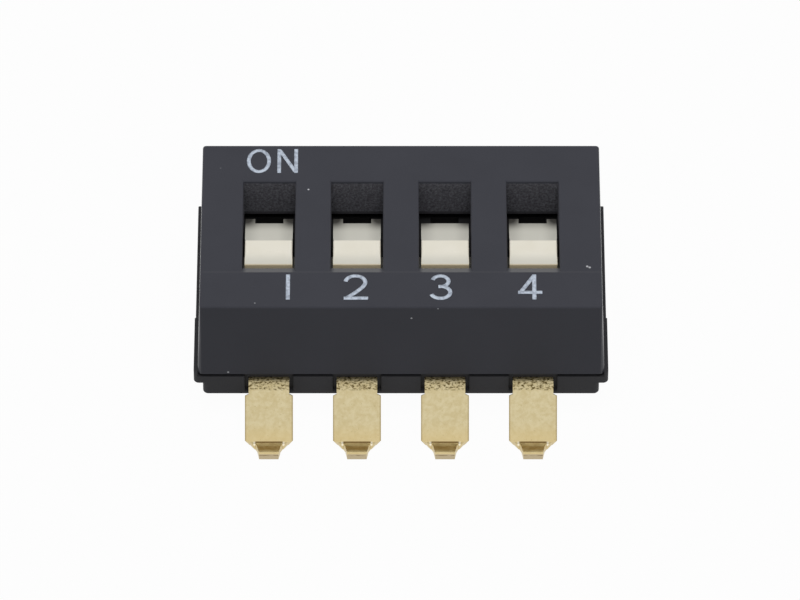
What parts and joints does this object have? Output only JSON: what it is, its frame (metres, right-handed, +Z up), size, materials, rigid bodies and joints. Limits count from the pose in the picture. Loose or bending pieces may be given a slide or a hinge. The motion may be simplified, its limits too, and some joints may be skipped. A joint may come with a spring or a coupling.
{
  "type": "dip switch",
  "caption": "Flat surface-mount slide switch: black housing with a row of slots, off-white sliders that move between OFF and ON, and gold gull-wing leads along both long sides.",
  "frame": {"origin": "centre of the plane under the lead feet, where the switch stands on its board", "axes": "+X along the row from position 1 to position 4, +Y towards ON, +Z up out of the board"},
  "size_m": [0.012, 0.0102, 0.0045],
  "materials": {
    "housing_plastic": "fine matt moulded black",
    "base_plastic": "matt moulded black",
    "slider_plastic": "satin moulded off-white",
    "lead_metal": "satin gold plating",
    "spring_metal": "bright gold plating"
  },
  "bodies": {
    "housing": {"cover": "housing_plastic", "base": "base_plastic", "front_terminal_1": "lead_metal", "front_terminal_2": "lead_metal", "front_terminal_3": "lead_metal", "front_terminal_4": "lead_metal", "back_terminal_1": "lead_metal", "back_terminal_2": "lead_metal", "back_terminal_3": "lead_metal", "back_terminal_4": "lead_metal"},
    "switch_1": {"slider_1": "slider_plastic", "contact_spring_1": "spring_metal"},
    "switch_2": {"slider_2": "slider_plastic", "contact_spring_2": "spring_metal"},
    "switch_3": {"slider_3": "slider_plastic", "contact_spring_3": "spring_metal"},
    "switch_4": {"slider_4": "slider_plastic", "contact_spring_4": "spring_metal"}
  },
  "joints": [
    {"name": "slide_1", "type": "slide", "parent": "housing", "child": "switch_1", "axis": [0, 1, 0], "range_m": [0, 0.001]},
    {"name": "slide_2", "type": "slide", "parent": "housing", "child": "switch_2", "axis": [0, 1, 0], "range_m": [0, 0.001]},
    {"name": "slide_3", "type": "slide", "parent": "housing", "child": "switch_3", "axis": [0, 1, 0], "range_m": [0, 0.001]},
    {"name": "slide_4", "type": "slide", "parent": "housing", "child": "switch_4", "axis": [0, 1, 0], "range_m": [0, 0.001]}
  ]
}
